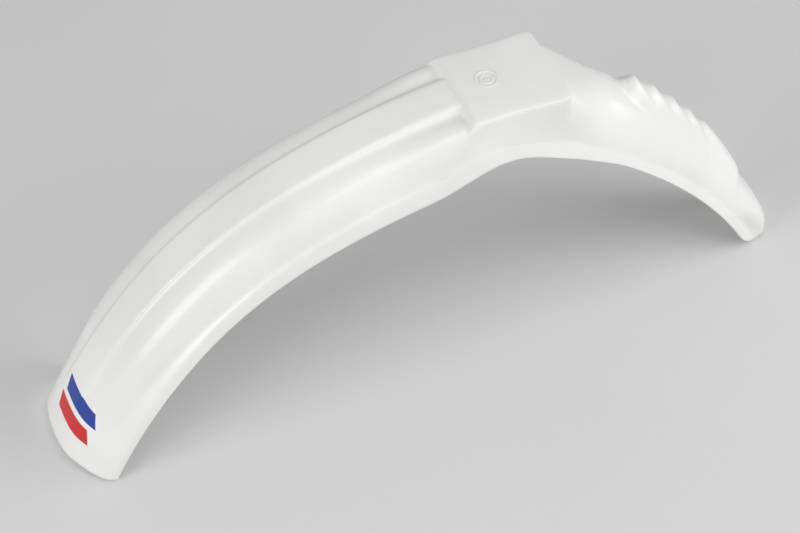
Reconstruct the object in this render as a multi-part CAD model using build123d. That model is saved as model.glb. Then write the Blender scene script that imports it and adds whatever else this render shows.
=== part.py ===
from build123d import *
import os
from math import atan2, cos, degrees, hypot, radians, sin

# Front mudguard for an off-road motorcycle: one moulded shell, open underneath.
# Millimetres and degrees. X runs forward, Y to the rider's left, Z up.

WALL = 2.6

# Flat platform that bolts under the fork clamp
PLATFORM_LENGTH = 88.0
PLATFORM_WIDTH_FRONT = 94.0
PLATFORM_WIDTH_REAR = 92.5
PLATFORM_WAIST = 2.0
PLATFORM_HEIGHT = 313.0
PLATFORM_CORNER = 6.0
PLATFORM_FRONT_LEAN = 35.0
PLATFORM_RAMP = 10.0
PAD_SKIM = 0.05

# Raised ring on the platform
RING_FORWARD = 15.5
RING_DIAMETER = 21.0
RING_WIDTH = 1.4
RING_RAISE = 0.6
PIP_DIAMETER = 5.0

# Front half: spine arcs from the platform to the nose
PANEL_DROP = 3.2
FRONT_START = 8.5
FRONT_RADIUS_UPPER = 660.0
FRONT_TURN_UPPER = 14.4
FRONT_RADIUS_MIDDLE = 390.0
FRONT_TURN_MIDDLE = 25.8
FRONT_RADIUS_LOWER = 590.0
FRONT_TURN_LOWER = 16.5
NOSE_BULGE = 10.0
NOSE_RAKE = 9.0
NOSE_CORNER = 14.0

# Front half: half widths and depths of the section
FRONT_HALF_WIDTH = 63.5
NOSE_HALF_WIDTH = 73.0
FRONT_DEPTH = 59.0
NOSE_DEPTH = 41.0
DEPTH_FALL = 20.0
WAIST_PINCH = 3.5
WAIST_LIFT = 2.7
SHOULDER_STOP = 74.0
BROW_HALF_WIDTH = 44.2
BROW_DEPTH = 0.8
BROW_IN = 1.0
BROW_REACH = 0.16
LIP_AT_PLATFORM = 20.5
LIP_AT_NOSE = 6.0
LEDGE_AT_PLATFORM = 1.2
LEDGE_AT_NOSE = 22.0
LEDGE_SLOPE = 30.0
LEDGE_SLOPE_NOSE = 44.0
LIP_SLOPE = 78.0

# Raised panel down the middle of the front half
PANEL_HALF_WIDTH = 18.0
PANEL_CROWN = 0.4
PANEL_STEP = 6.0
PANEL_STEP_THIN = 1.3
PANEL_SLOPE = 6.0
PANEL_SLOPE_THIN = 2.2
PANEL_REST = 0.5
PANEL_END = 0.87

# Waist below the platform
WAIST_DEPTH = 52.0
WAIST_MIDDLE = 0.47
WAIST_HALF_WIDTH = 55.3
WAIST_FLANGE_IN = 1.2
WAIST_FLANGE_UP = 4.0
THROAT_IN = 4.0
THROAT_UP = 6.0
THROAT_REACH = 8.0
REAR_START_DEPTH = 74.6
REAR_START_HALF_WIDTH = 53.7

# Rear half
REAR_DROP = 3.2
REAR_START = 31.8
REAR_RADIUS_UPPER = 800.0
REAR_TURN_UPPER = 9.3
REAR_RADIUS_LOWER = 575.0
REAR_TURN_LOWER = 25.7
REAR_DEPTH = 48.6
TAIL_DEPTH = 33.5
TAIL_HALF_WIDTH = 40.5
FLANGE_OUT = 5.7
FLANGE_DOWN = 10.0
FLANGE_OUT_START = 6.4
FLANGE_DOWN_START = 17.0
TAIL_BACK = -32.0
TAIL_BULGE = 25.0
TAIL_SPREAD = 0.4
TAIL_TAPER = 0.0016
TAIL_POWER = 3.9
TAIL_SINK = 2.6
TAIL_RIM = 23.0
RIM_STEP = 1.6
RIM_UP = 3.0

# Louvre steps across the rear crown
LOUVRE_COUNT = 5
LOUVRE_FIRST = 113.0
LOUVRE_PITCH = 31.5
LOUVRE_RISE = 10.2
LOUVRE_RISE_LAST = 5.2
LOUVRE_VALLEY = 4.6
LOUVRE_VALLEY_LAST = 1.8
LOUVRE_FRONT = 8.0
LOUVRE_HALF_WIDTH = 19.0
LOUVRE_SIDE = 3.5
LOUVRE_END = 310.0
LOUVRE_END_STEP = 12.0

HALF = PLATFORM_LENGTH / 2
BLOCK_LENGTH = PLATFORM_LENGTH + PLATFORM_RAMP
FRONT_ARCS = ((FRONT_RADIUS_UPPER, FRONT_TURN_UPPER), (FRONT_RADIUS_MIDDLE, FRONT_TURN_MIDDLE),
              (FRONT_RADIUS_LOWER, FRONT_TURN_LOWER))
REAR_ARCS = ((REAR_RADIUS_UPPER, REAR_TURN_UPPER), (REAR_RADIUS_LOWER, REAR_TURN_LOWER))
FRONT_LENGTH = sum(r * radians(t) for r, t in FRONT_ARCS)
REAR_LENGTH = sum(r * radians(t) for r, t in REAR_ARCS)
REACH_BELOW = PLATFORM_LENGTH / 3
CUT_SIZE = 3 * NOSE_HALF_WIDTH


def ease(t):
    t = min(max(t, 0.0), 1.0)
    return t * t * (3 - 2 * t)


def mix(a, b, t):
    return a + (b - a) * t


def along(arcs, heading, s):
    """Run, fall and heading after a length s along a chain of arcs."""
    run, fall, left = 0.0, 0.0, s
    a = radians(heading)
    for k, (radius, turn) in enumerate(arcs):
        step = left if k == len(arcs) - 1 else min(left, radius * radians(turn))
        b = a + step / radius
        run += radius * (sin(b) - sin(a))
        fall += radius * (cos(a) - cos(b))
        a = b
        left -= step
        if left <= 0:
            break
    return run, fall, degrees(a)


def unit(p, q):
    n = hypot(q[0] - p[0], q[1] - p[1])
    return ((q[0] - p[0]) / n, (q[1] - p[1]) / n)


def aim(angle):
    return (cos(radians(angle)), sin(radians(angle)))


def section(place, nodes, curves, inset, crown=None):
    """Closed wire across the guard.

    nodes run from the crown to the lower edge as half width and depth; curves holds None for a
    straight piece or (start angle, end angle, start pull, end pull) for a bent one. An inset
    moves the skin inward and lets the lower edge run on below.
    """
    first = (1.0, 0.0)
    if crown is not None:
        first = unit((0.0, nodes[0][1] - 2 * crown), nodes[0])
    heads, tails = [], []
    for k, curve in enumerate(curves):
        chord = unit(nodes[k], nodes[k + 1])
        heads.append(aim(curve[0]) if curve else chord)
        tails.append(aim(curve[1]) if curve else chord)
    moved = []
    for k, node in enumerate(nodes):
        into = first if k == 0 else tails[k - 1]
        outof = heads[k] if k < len(curves) else into
        n0, n1 = (-into[1], into[0]), (-outof[1], outof[0])
        if node[0] == 0.0:
            n0 = n1 = (0.0, 1.0)
        scale = inset / (1 + n0[0] * n1[0] + n0[1] * n1[1])
        moved.append((node[0] + scale * (n0[0] + n1[0]), node[1] + scale * (n0[1] + n1[1])))
    if inset:
        end = moved[-1]
        moved[-1] = (end[0] + REACH_BELOW * tails[-1][0], end[1] + REACH_BELOW * tails[-1][1])
    near, far = [], []
    for k, curve in enumerate(curves):
        p, q = moved[k], moved[k + 1]
        if curve is None:
            near.append(Edge.make_line(place(*p), place(*q)))
            far.append(Edge.make_line(place(-q[0], q[1]), place(-p[0], p[1])))
            continue
        size = hypot(q[0] - p[0], q[1] - p[1])
        h, t = heads[k], tails[k]
        a = (p[0] + h[0] * size * curve[2], p[1] + h[1] * size * curve[2])
        b = (q[0] - t[0] * size * curve[3], q[1] - t[1] * size * curve[3])
        near.append(Edge.make_bezier(place(*p), place(*a), place(*b), place(*q)))
        mirror = [place(-v[0], v[1]) for v in (q, b, a, p)]
        far.append(Edge.make_bezier(*mirror))
    edges = list(reversed(far))
    p, q = moved[0], moved[-1]
    if crown is not None:
        top = (0.0, p[1] - 2 * crown)
        if crown:
            edges.append(Edge.make_bezier(place(-p[0], p[1]), place(*top), place(*p)))
        else:
            edges.append(Edge.make_line(place(-p[0], p[1]), place(*p)))
    edges += near
    edges.append(Edge.make_line(place(*q), place(-q[0], q[1])))
    return Wire(edges)


def plane_at(x, z, tilt):
    """Map half width and depth to a point on a cross plane leaning by tilt."""
    a = radians(tilt)

    def place(y, d):
        return Vector(x - d * sin(a), y, z - d * cos(a))
    return place


def front_edges(u):
    """Ledge crease, ledge edge and lower edge of the front half, from the panel top."""
    half = mix(FRONT_HALF_WIDTH, NOSE_HALF_WIDTH, u * u)
    half -= WAIST_PINCH * (1 - ease(u / 0.06))
    depth = FRONT_DEPTH - DEPTH_FALL * u + (NOSE_DEPTH + DEPTH_FALL - FRONT_DEPTH) * u ** 3
    depth -= WAIST_LIFT * (1 - ease(u / 0.06))
    lip = mix(LIP_AT_PLATFORM, LIP_AT_NOSE, u)
    ledge = mix(LEDGE_AT_PLATFORM, LEDGE_AT_NOSE, u ** 3)
    low = (half, depth)
    c = aim(LIP_SLOPE)
    edge = (half - lip * c[0], depth - lip * c[1])
    c = aim(mix(LEDGE_SLOPE, LEDGE_SLOPE_NOSE, u ** 4))
    crease = (edge[0] - ledge * c[0], edge[1] - ledge * c[1])
    return crease, edge, low


def shoulder(u, foot, crease):
    """Node and two bends of the shoulder; near the platform it stands up to meet the platform's side."""
    last = ease((u - 0.72) / 0.28)
    a, b = aim(mix(8.0, 7.5, last)), aim(mix(SHOULDER_STOP, 33.0, last))
    size = hypot(crease[0] - foot[0], crease[1] - foot[1])
    pull_a, pull_b = size * mix(0.52, 0.46, last), size * mix(0.52, 0.44, last)
    upper, lower = bezier_cut(foot, (foot[0] + a[0] * pull_a, foot[1] + a[1] * pull_a),
                              (crease[0] - b[0] * pull_b, crease[1] - b[1] * pull_b), crease, 0.45)
    full = 1 - ease(u / BROW_REACH)
    node = (mix(upper[3][0], BROW_HALF_WIDTH, full), mix(upper[3][1], BROW_DEPTH, full))
    near = ((-16.0, 66.0, 0.5, 0.26), (66.0, SHOULDER_STOP, 0.33, 0.33))
    bends = [tuple(mix(p, q, full) for p, q in zip(bend_of(half), end)) for half, end in zip((upper, lower), near)]
    return node, bends


def front_section(u, inset, under=0.0):
    """Panel, shoulder, ledge and lip; under gives a narrower one that far back below the platform."""
    run, fall, heading = along(FRONT_ARCS, FRONT_START, u * FRONT_LENGTH)
    tilt = heading * ease(u / 0.2)
    place = plane_at(HALF + PLATFORM_RAMP + run, PLATFORM_HEIGHT - PANEL_DROP - fall, tilt)
    thin = PANEL_STEP_THIN * (1 - ease((u - PANEL_END + 0.14) / 0.14))
    near = min(1.0, max(0.0, 1 - u / 0.5))
    step = thin + (PANEL_STEP - PANEL_STEP_THIN) * near ** 2
    slope = mix(PANEL_SLOPE_THIN, PANEL_SLOPE, near)
    rest = PANEL_REST * ease((u - 0.6) / 0.4)
    crown = PANEL_CROWN + rest
    top = (PANEL_HALF_WIDTH, crown)
    foot = (PANEL_HALF_WIDTH + slope, crown + step + PANEL_CROWN / 4 + 0.25 * rest)
    crease, edge, low = front_edges(u)
    if under:
        crease, edge, low = [(y - THROAT_IN, d - PANEL_DROP) for y, d in platform_edges(under / BLOCK_LENGTH)]
        low = (low[0], low[1] - THROAT_UP)
    brow, bends = shoulder(u, foot, crease)
    if under:
        brow = (brow[0] - BROW_IN, brow[1])
    nodes = [top, foot, brow, crease, edge, low]
    if u == 0:
        nodes = [(y, d + PANEL_DROP) for y, d in nodes]
        place = platform_place(under / BLOCK_LENGTH)
    return section(place, nodes, [None] + bends + [None, None], inset, crown)


def platform_place(t):
    return plane_at(mix(HALF + PLATFORM_RAMP, -HALF, t), PLATFORM_HEIGHT, 0.0)


def platform_edges(t):
    """Side crease, bend and lower edge below the platform, from its top."""
    crease, edge, low = front_edges(0.0)
    f, r = max(0.0, 1 - t / WAIST_MIDDLE), max(0.0, (t - WAIST_MIDDLE) / (1 - WAIST_MIDDLE))
    low_half = WAIST_HALF_WIDTH + (low[0] - WAIST_HALF_WIDTH) * f * f
    low_half += (REAR_START_HALF_WIDTH - WAIST_HALF_WIDTH) * r
    low_depth = WAIST_DEPTH + (low[1] + PANEL_DROP - WAIST_DEPTH) * f * f
    low_depth += (REAR_START_DEPTH - WAIST_DEPTH) * r ** 1.3
    mid = 4 * t * (1 - t)
    back = (FLANGE_OUT_START, FLANGE_DOWN_START)
    out = mix(low[0] - crease[0], back[0], t) - WAIST_FLANGE_IN * mid
    down = mix(low[1] - crease[1], back[1], t) - WAIST_FLANGE_UP * mid
    side = (low_half - out, low_depth - down)
    bend = (side[0] + mix(edge[0] - crease[0], 0.05 * back[0], t),
            side[1] + mix(edge[1] - crease[1], 0.05 * back[1], t))
    return side, bend, (low_half, low_depth)


def platform_section(t, inset):
    """Cross section of the platform block, t from its front wall to its rear wall."""
    half = mix(PLATFORM_WIDTH_FRONT, PLATFORM_WIDTH_REAR, t) / 2 - PLATFORM_WAIST * 4 * t * (1 - t)
    r = PLATFORM_CORNER
    nodes = [(half - r, 0.0), (half, r)] + list(platform_edges(t))
    upright, foot = mix(86, 88.5, t), mix(SHOULDER_STOP, 87, t)
    curves = [(0.0, upright, 0.39, 0.39), (upright, foot, 0.4, 0.4), None, None]
    return section(platform_place(t), nodes, curves, inset, 0.0)


def rear_place(w):
    run, fall, heading = along(REAR_ARCS, REAR_START, w * REAR_LENGTH)
    tilt = -heading * ease(w / 0.3)
    return plane_at(-HALF - run, PLATFORM_HEIGHT - REAR_DROP - fall, tilt)


def rear_edges(w):
    """Flange crease and lower edge of the rear half, from the crown."""
    v = max(0.0, (w - 0.3) / 0.7)
    c = max(0.0, (0.3 - w) / 0.3)
    narrow = v * v * (1.6 - 0.6 * v)
    half = mix(REAR_START_HALF_WIDTH, TAIL_HALF_WIDTH, narrow)
    depth = REAR_DEPTH + (TAIL_DEPTH - REAR_DEPTH) * (0.6 * v + 0.4 * v ** 3)
    depth += (REAR_START_DEPTH - REAR_DROP - REAR_DEPTH) * c ** 1.39
    out, down = mix(FLANGE_OUT, FLANGE_OUT_START, c), mix(FLANGE_DOWN, FLANGE_DOWN_START, c)
    return (half - out, depth - down), (half, depth)


def bezier_cut(p0, p1, p2, p3, t):
    """Split a cubic at t into two cubics."""
    def part(a, b):
        return (mix(a[0], b[0], t), mix(a[1], b[1], t))
    a1, a2, a3 = part(p0, p1), part(p1, p2), part(p2, p3)
    b1, b2 = part(a1, a2), part(a2, a3)
    m = part(b1, b2)
    return (p0, a1, b1, m), (m, b2, a3, p3)


def cut_at(curve, y):
    """Parameter where a cubic reaches the half width y."""
    low, high = 0.0, 1.0
    for _ in range(40):
        t = (low + high) / 2
        if bezier_cut(*curve, t)[0][3][0] < y:
            low = t
        else:
            high = t
    return (low + high) / 2


def bend_of(curve):
    """Start angle, end angle and the two pulls of a cubic."""
    p0, p1, p2, p3 = curve
    size = hypot(p3[0] - p0[0], p3[1] - p0[1])
    return (degrees(atan2(p1[1] - p0[1], p1[0] - p0[0])), degrees(atan2(p3[1] - p2[1], p3[0] - p2[0])),
            hypot(p1[0] - p0[0], p1[1] - p0[1]) / size, hypot(p3[0] - p2[0], p3[1] - p2[1]) / size)


def rear_section(w, inset, lift=0.0):
    """Crown, crease and flange; a lift raises the middle of the crown for a louvre peak.

    A negative w reaches that far under the platform.
    """
    crease, low = rear_edges(max(w, 0.0))
    place, drop = rear_place(w), 0.0
    if w < 0:
        t = 1 + w * REAR_LENGTH / BLOCK_LENGTH
        place, drop = platform_place(t), REAR_DROP
        crease, _, low = [(y - 1.0, d - drop) for y, d in platform_edges(t)]
        low = (low[0], low[1] - 3.0)
    square = 1 - ease(w / 0.3)
    c = aim(mix(76.0, 88.0, square))
    reach = mix(0.58, 0.9, square) * crease[1]
    sink = TAIL_SINK * ease((w * REAR_LENGTH - LOUVRE_END) / LOUVRE_END_STEP)
    crown = ((0.0, sink), (mix(0.55, 0.93, square) * crease[0], sink),
             (crease[0] - c[0] * reach, crease[1] - c[1] * reach), crease)
    outer_y = LOUVRE_HALF_WIDTH + LOUVRE_SIDE
    inside, side = bezier_cut(*crown, cut_at(crown, outer_y))
    middle, strip = bezier_cut(*inside, cut_at(inside, LOUVRE_HALF_WIDTH))
    bends = [bend_of(middle), bend_of(strip), bend_of(side), None]
    edge = (strip[0][0], strip[0][1] - 0.85 * lift)
    if lift:
        bends[0] = (0.0, bends[0][1], 0.4, 0.3)
        bends[1] = None
    nodes = [(y, d + drop) for y, d in ((0.0, sink - lift), edge, side[0], crease, low)]
    return section(place, nodes, bends, inset)


def louvres(inset):
    """Cross sections of the stepped stretch: a valley, then a peak, for each louvre."""
    wires = []
    for k in range(LOUVRE_COUNT):
        s = LOUVRE_FIRST + k * LOUVRE_PITCH
        t = k / max(1, LOUVRE_COUNT - 1)
        rise = mix(LOUVRE_RISE, LOUVRE_RISE_LAST, t)
        valley = mix(LOUVRE_VALLEY, LOUVRE_VALLEY_LAST, t) if k else 0.0
        wires.append(rear_section(s / REAR_LENGTH, inset, valley))
        wires.append(rear_section((s + LOUVRE_FRONT) / REAR_LENGTH, inset, rise))
    wires.append(rear_section(LOUVRE_END / REAR_LENGTH, inset, LOUVRE_VALLEY_LAST))
    wires.append(rear_section((LOUVRE_END + LOUVRE_END_STEP) / REAR_LENGTH, inset))
    return wires


def front_wedge(inset):
    """Room ahead of the leaning front wall of the platform."""
    a = radians(PLATFORM_FRONT_LEAN)
    spot = (HALF - inset / cos(a), 0, PLATFORM_HEIGHT)
    frame = Plane(origin=spot, x_dir=(sin(a), 0, -cos(a)), z_dir=(cos(a), 0, sin(a)))
    thick = PLATFORM_LENGTH * 0.7
    return frame * (Pos(PLATFORM_RAMP, 0, thick / 2) * Box(2 * thick, CUT_SIZE, thick))


def pad_skim():
    """Thin slice above the platform that leaves its top truly flat."""
    tall = PLATFORM_RAMP
    return Pos(0, 0, PLATFORM_HEIGHT - PAD_SKIM + tall / 2) * Box(2 * BLOCK_LENGTH, CUT_SIZE, tall)


def tail_frame():
    """Plane on the crown at the tail, its X rearward and its Z outward."""
    run, fall, heading = along(REAR_ARCS, REAR_START, REAR_LENGTH)
    a = radians(heading)
    spot = (-HALF - run, 0, PLATFORM_HEIGHT - REAR_DROP - fall)
    return Plane(origin=spot, x_dir=(-cos(a), 0, -sin(a)), z_dir=(-sin(a), 0, cos(a)))


def tail_rim(inset):
    """Room above the lower rim that runs round the tail tip, outside the end of the crown."""
    radius = TAIL_HALF_WIDTH - FLANGE_OUT
    centre = TAIL_BULGE - TAIL_RIM - radius
    wires = []
    for t in range(5):
        w = mix(1 + (centre - 6.0) / REAR_LENGTH, 1.12, t / 4)
        place, crease = rear_place(w), rear_edges(w)[0]
        deep, y, d = TAIL_SINK + RIM_STEP + inset, crease[0] - RIM_STEP - inset, crease[1] - RIM_UP
        c, reach, out = aim(76.0), 0.58 * d, 2 * TAIL_HALF_WIDTH
        half = [(0.0, deep), (0.55 * y, deep), (y - c[0] * reach, d - c[1] * reach), (y, d)]
        near = Edge.make_bezier(*[place(*q) for q in half])
        far = Edge.make_bezier(*[place(-q[0], q[1]) for q in reversed(half)])
        box = [(y, d), (out, d), (out, -REACH_BELOW), (-out, -REACH_BELOW), (-out, d), (-y, d)]
        wires.append(Wire([far, near] + [Edge.make_line(place(*box[k]), place(*box[k + 1])) for k in range(5)]))
    room = loft_of(wires)
    kept = Pos(centre, 0, 0) * Cylinder(radius - inset, CUT_SIZE)
    kept = kept + Pos(centre - CUT_SIZE / 4, 0, 0) * Box(CUT_SIZE / 2, CUT_SIZE, CUT_SIZE)
    return room - tail_frame() * kept


def loft_of(wires, straight=False):
    return Solid.make_loft(wires, ruled=straight)


def envelope(inset):
    """Solid form filled down to the lower edge, with its skin moved in by inset.

    The inset form keeps the walls at both ends of the platform, so its front and rear reach under it.
    """
    first = LOUVRE_FIRST / REAR_LENGTH
    last = (LOUVRE_END + LOUVRE_END_STEP) / REAR_LENGTH
    gap = inset / BLOCK_LENGTH
    stations = (0.0, 0.04, 0.08, 0.14, 0.22, 0.34, 0.46, 0.58, 0.7, 0.8, 0.88, 0.95, 1.05)
    front = loft_of([front_section(u, inset) for u in stations])
    block = loft_of([platform_section(mix(gap, 1 - gap, t / 6), inset) for t in range(7)])
    block = block - front_wedge(inset)
    if not inset:
        block = block - pad_skim()
    reach = PLATFORM_RAMP + THROAT_REACH + 2 * inset
    throat = loft_of([front_section(0.0, inset, reach * t) for t in (1.0, 0.5, 0.0)], True)
    neck = loft_of([rear_section(first * t / 4, inset) for t in range(5)])
    steps = loft_of(louvres(inset), True)
    tail = loft_of([rear_section(mix(last, 1.09, t / 4), inset) for t in range(5)])
    tail = tail - tail_rim(inset)
    pieces = [front, block, throat, neck, steps, tail]
    if inset:
        under = -2 * inset / REAR_LENGTH
        pieces.append(loft_of([rear_section(under, inset), rear_section(0.0, inset)], True))
    return pieces


def fuse(pieces):
    whole = pieces[0]
    for piece in pieces[1:]:
        whole = whole + piece
    return whole


def nose_cutter():
    """Everything past the bowed front edge and its rounded corners, raked so the sides reach further."""
    run, fall, heading = along(FRONT_ARCS, FRONT_START, FRONT_LENGTH)
    a = radians(heading - NOSE_RAKE)
    spot = (HALF + PLATFORM_RAMP + run, 0, PLATFORM_HEIGHT - PANEL_DROP - fall)
    frame = Plane(origin=spot, x_dir=(cos(a), 0, -sin(a)), z_dir=(sin(a), 0, cos(a)))
    w, back = NOSE_HALF_WIDTH + 1, -CUT_SIZE / 4
    outline = Wire([Edge.make_three_point_arc((0, -w), (NOSE_BULGE, 0), (0, w)),
                    Edge.make_line((0, w), (back, w)),
                    Edge.make_line((back, w), (back, -w)),
                    Edge.make_line((back, -w), (0, -w))])
    face = Face(outline)
    corners = [v for v in face.vertices() if abs(v.X) < 0.01]
    kept = extrude(face.fillet_2d(NOSE_CORNER, corners), amount=CUT_SIZE, both=True)
    block = Pos(back + CUT_SIZE / 2, 0, 0) * Box(CUT_SIZE, 1.2 * CUT_SIZE, CUT_SIZE)
    return frame * (block - kept)


def tail_cutter():
    """Everything past the rounded tail tip."""
    half, long = TAIL_HALF_WIDTH + TAIL_SPREAD, TAIL_BULGE - TAIL_BACK
    points = []
    for k in range(17):
        a = radians(90 * (k - 8) / 8)
        y = half * abs(sin(a)) ** (2 / TAIL_POWER) * (1 if k > 8 else -1)
        p = TAIL_BACK + long * max(0.0, cos(a)) ** (2 / TAIL_POWER)
        points.append((p, y * (1 - TAIL_TAPER * p)))
    tip = Edge.make_spline([Vector(*p) for p in points], tangents=[Vector(1, 0), Vector(-1, 0)])
    far, (back, half) = TAIL_BACK - CUT_SIZE / 4, points[-1]
    outline = Wire([tip, Edge.make_line((back, half), (far, half)), Edge.make_line((far, half), (far, -half)),
                    Edge.make_line((far, -half), (back, -half))])
    kept = extrude(Face(outline), amount=CUT_SIZE / 2, both=True)
    block = Pos(TAIL_BACK + CUT_SIZE / 4, 0, 0) * Box(CUT_SIZE / 2, CUT_SIZE, CUT_SIZE)
    return tail_frame() * (block - kept)


def ring_mark():
    """Plain raised ring with a pip at its centre, standing on the platform."""
    sunk = 0.5
    tall = RING_RAISE + sunk
    spot = Pos(RING_FORWARD, 0, PLATFORM_HEIGHT - sunk + tall / 2)
    ring = Cylinder(RING_DIAMETER / 2, tall) - Cylinder(RING_DIAMETER / 2 - RING_WIDTH, tall)
    return spot * (ring + Cylinder(PIP_DIAMETER / 2, tall))


def lowest(solid, side):
    """Lowest point of the nose (side 1) or the tail (side -1) as X and Z."""
    spots = [e.position_at(k / 24) for e in solid.edges() for k in range(25)]
    low = min((p for p in spots if side * p.X > PLATFORM_LENGTH), key=lambda p: p.Z)
    return low.X, low.Z


def settled(solid):
    """Tip the guard so that nose and tail both stand on the floor, centred over the origin."""
    for _ in range(3):
        (xf, zf), (xr, zr) = lowest(solid, 1), lowest(solid, -1)
        solid = solid.rotate(Axis.Y, degrees(atan2(zf - zr, xf - xr)))
    middle, floor = solid.bounding_box().center(), min(lowest(solid, 1)[1], lowest(solid, -1)[1])
    return solid.translate((-middle.X, -middle.Y, -floor))


def mudguard():
    outer, inner = fuse(envelope(0.0)), fuse(envelope(WALL))
    shell = outer - inner
    shell = shell - nose_cutter() - tail_cutter()
    shell = shell + ring_mark()
    return settled(shell)


if __name__ == "__main__":
    os.makedirs("parts", exist_ok=True)
    body = mudguard()
    export_step(body.solid(), "parts/mudguard.step")
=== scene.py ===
import math

import bpy
import numpy as np
from mathutils import Matrix, Vector


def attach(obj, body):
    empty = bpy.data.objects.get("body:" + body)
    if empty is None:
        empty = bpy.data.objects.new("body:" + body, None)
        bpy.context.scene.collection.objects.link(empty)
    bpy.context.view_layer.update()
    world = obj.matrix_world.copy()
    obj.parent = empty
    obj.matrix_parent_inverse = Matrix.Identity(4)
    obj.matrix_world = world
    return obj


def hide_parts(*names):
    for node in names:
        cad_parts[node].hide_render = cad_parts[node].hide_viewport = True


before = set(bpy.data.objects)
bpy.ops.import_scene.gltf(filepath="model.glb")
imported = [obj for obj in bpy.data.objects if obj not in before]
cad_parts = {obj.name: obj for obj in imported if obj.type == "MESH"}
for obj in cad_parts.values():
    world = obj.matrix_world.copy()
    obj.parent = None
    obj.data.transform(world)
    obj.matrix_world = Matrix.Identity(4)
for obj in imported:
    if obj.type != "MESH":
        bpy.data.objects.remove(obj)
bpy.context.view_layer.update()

bl_info = {
    "name": "Motorcycle front mudguard",
    "version": (1, 0, 0),
    "blender": (4, 5, 0),
    "location": "3D View > Sidebar > Mudguard",
    "description": "Moulded white front mudguard with louvre steps, a ring mark and a plain stage",
    "category": "Object",
}

NODE = "mudguard"

# Millimetres in one metre, and a length too small to matter
MM = 1000
TINY = 1e-6

# Sections, in millimetres and degrees; some runs are shares of a half's length

# Platform; pairs are front and rear
PLATFORM_HEIGHT = 313.0
PLATFORM_WAIST = 3.0
PLATFORM_OVERHANG = 4.0
PLATFORM_PLAN_CORNER = 5.0
PLATFORM_CROWN = 3.0
PLATFORM_CORNER = 2.5
PLATFORM_CORNER_START = 7.0
PLATFORM_CORNER_PULL = 0.39
PLATFORM_SIDE = (86.0, 88.5)
PLATFORM_SIDE_FOOT = 87.0
PLATFORM_SIDE_PULL = 0.4
PLATFORM_FRONT_LEAN = 35.0
PLATFORM_RAMP = 10.0

# Front half, with its spine as radius and turn of each arc; pairs are platform end and nose
PANEL_DROP = 3.2
FRONT_START = 8.5
FRONT_ARCS = ((660.0, 14.4), (390.0, 25.8), (590.0, 16.5))
FRONT_TILT_RUN = 0.2
FRONT_HALF_WIDTH = 63.5
FRONT_DEPTH = 59.0
DEPTH_FALL = 20.0
NOSE_FROM = 0.72
NOSE_BULGE = 10.0
NOSE_RAKE = 9.0
NOSE_CORNER = 14.0
NOSE_HALF_WIDTH = 73.0
NOSE_SPARE = 1.0
NOSE_DEPTH = 41.0
SHOULDER_START = (8.0, 7.5)
SHOULDER_STOP = (74.0, 33.0)
SHOULDER_PULL_START = (0.52, 0.46)
SHOULDER_PULL_STOP = (0.52, 0.44)
SHOULDER_CORNER = (41.0, 47.0)
SHOULDER_CORNER_SHARES = (0.36, 0.55)
SHOULDER_CORNER_RUN = 0.15
BROW_HALF_WIDTH = 44.5
BROW_DEPTH = 6.6
BROW_REACH = 0.17
BROW_START = -10.0
BROW_TURN = 28.0
BROW_PULL_ENDS = 0.4
BROW_PULL_MIDDLE = 0.35
BROW_SPLIT = 0.45
LIP = (20.5, 6.0)
LIP_SLOPE = 78.0
LEDGE = (3.0, 22.0)
LEDGE_AT_WAIST = 1.0
LEDGE_RUN = 0.2
LEDGE_SLOPE = (30.0, 44.0)

# Raised panel down the middle of the front half
PANEL_HALF_WIDTH = 18.0
PANEL_CROWN = 0.4
PANEL_STEP = 6.0
PANEL_STEP_THIN = 1.9
PANEL_STEP_RUN = 0.5
PANEL_SLOPE = 6.0
PANEL_SLOPE_THIN = 1.3
PANEL_SLOPE_REAR = 4.5
PANEL_FOOT = 0.1
PANEL_REST = 0.5
PANEL_REST_FROM = 0.6
PANEL_REST_FOOT = 0.25
PANEL_END = 0.95
PANEL_FADE = 0.09

# Waist below the platform
WAIST_PINCH = 3.5
WAIST_LIFT = 2.7
WAIST_RUN = 0.06
WAIST_DEPTH = 52.0
WAIST_MIDDLE = 0.47
WAIST_HALF_WIDTH = 55.3
WAIST_POWER = 1.3
WAIST_FLANGE_IN = 1.2
WAIST_FLANGE_UP = 4.0

# Rear half; pairs of the crown are its usual shape and the squarer one at the platform
REAR_START_DEPTH = 74.6
REAR_START_HALF_WIDTH = 53.7
REAR_START = 31.8
REAR_ARCS = ((800.0, 9.3), (575.0, 25.7))
REAR_DROP = 3.2
REAR_SQUARE = 75.0
REAR_BLEND = 0.3
REAR_DEPTH = 48.6
REAR_DEPTH_POWER = 1.39
CROWN_REACH = (0.58, 0.93)
CROWN_WIDTH = (0.55, 0.96)
CROWN_STOP = (76.0, 88.5)
CROWN_CORNER = 40.0
CROWN_CORNER_MOST = 0.86
CROWN_CORNER_TURN = 0.06
CROWN_CORNER_RUN = 90.0
CROWN_SHARES = (0.3, 0.52)
LOUVRE_SIDE = 4.5
LOUVRE_SIDE_RUN = 60.0
FLANGE_OUT = 5.7
FLANGE_OUT_MORE = 0.7
FLANGE_DOWN = 10.0
FLANGE_DOWN_START = 17.0
FLANGE_BEND = (0.05, 0.4)

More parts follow.
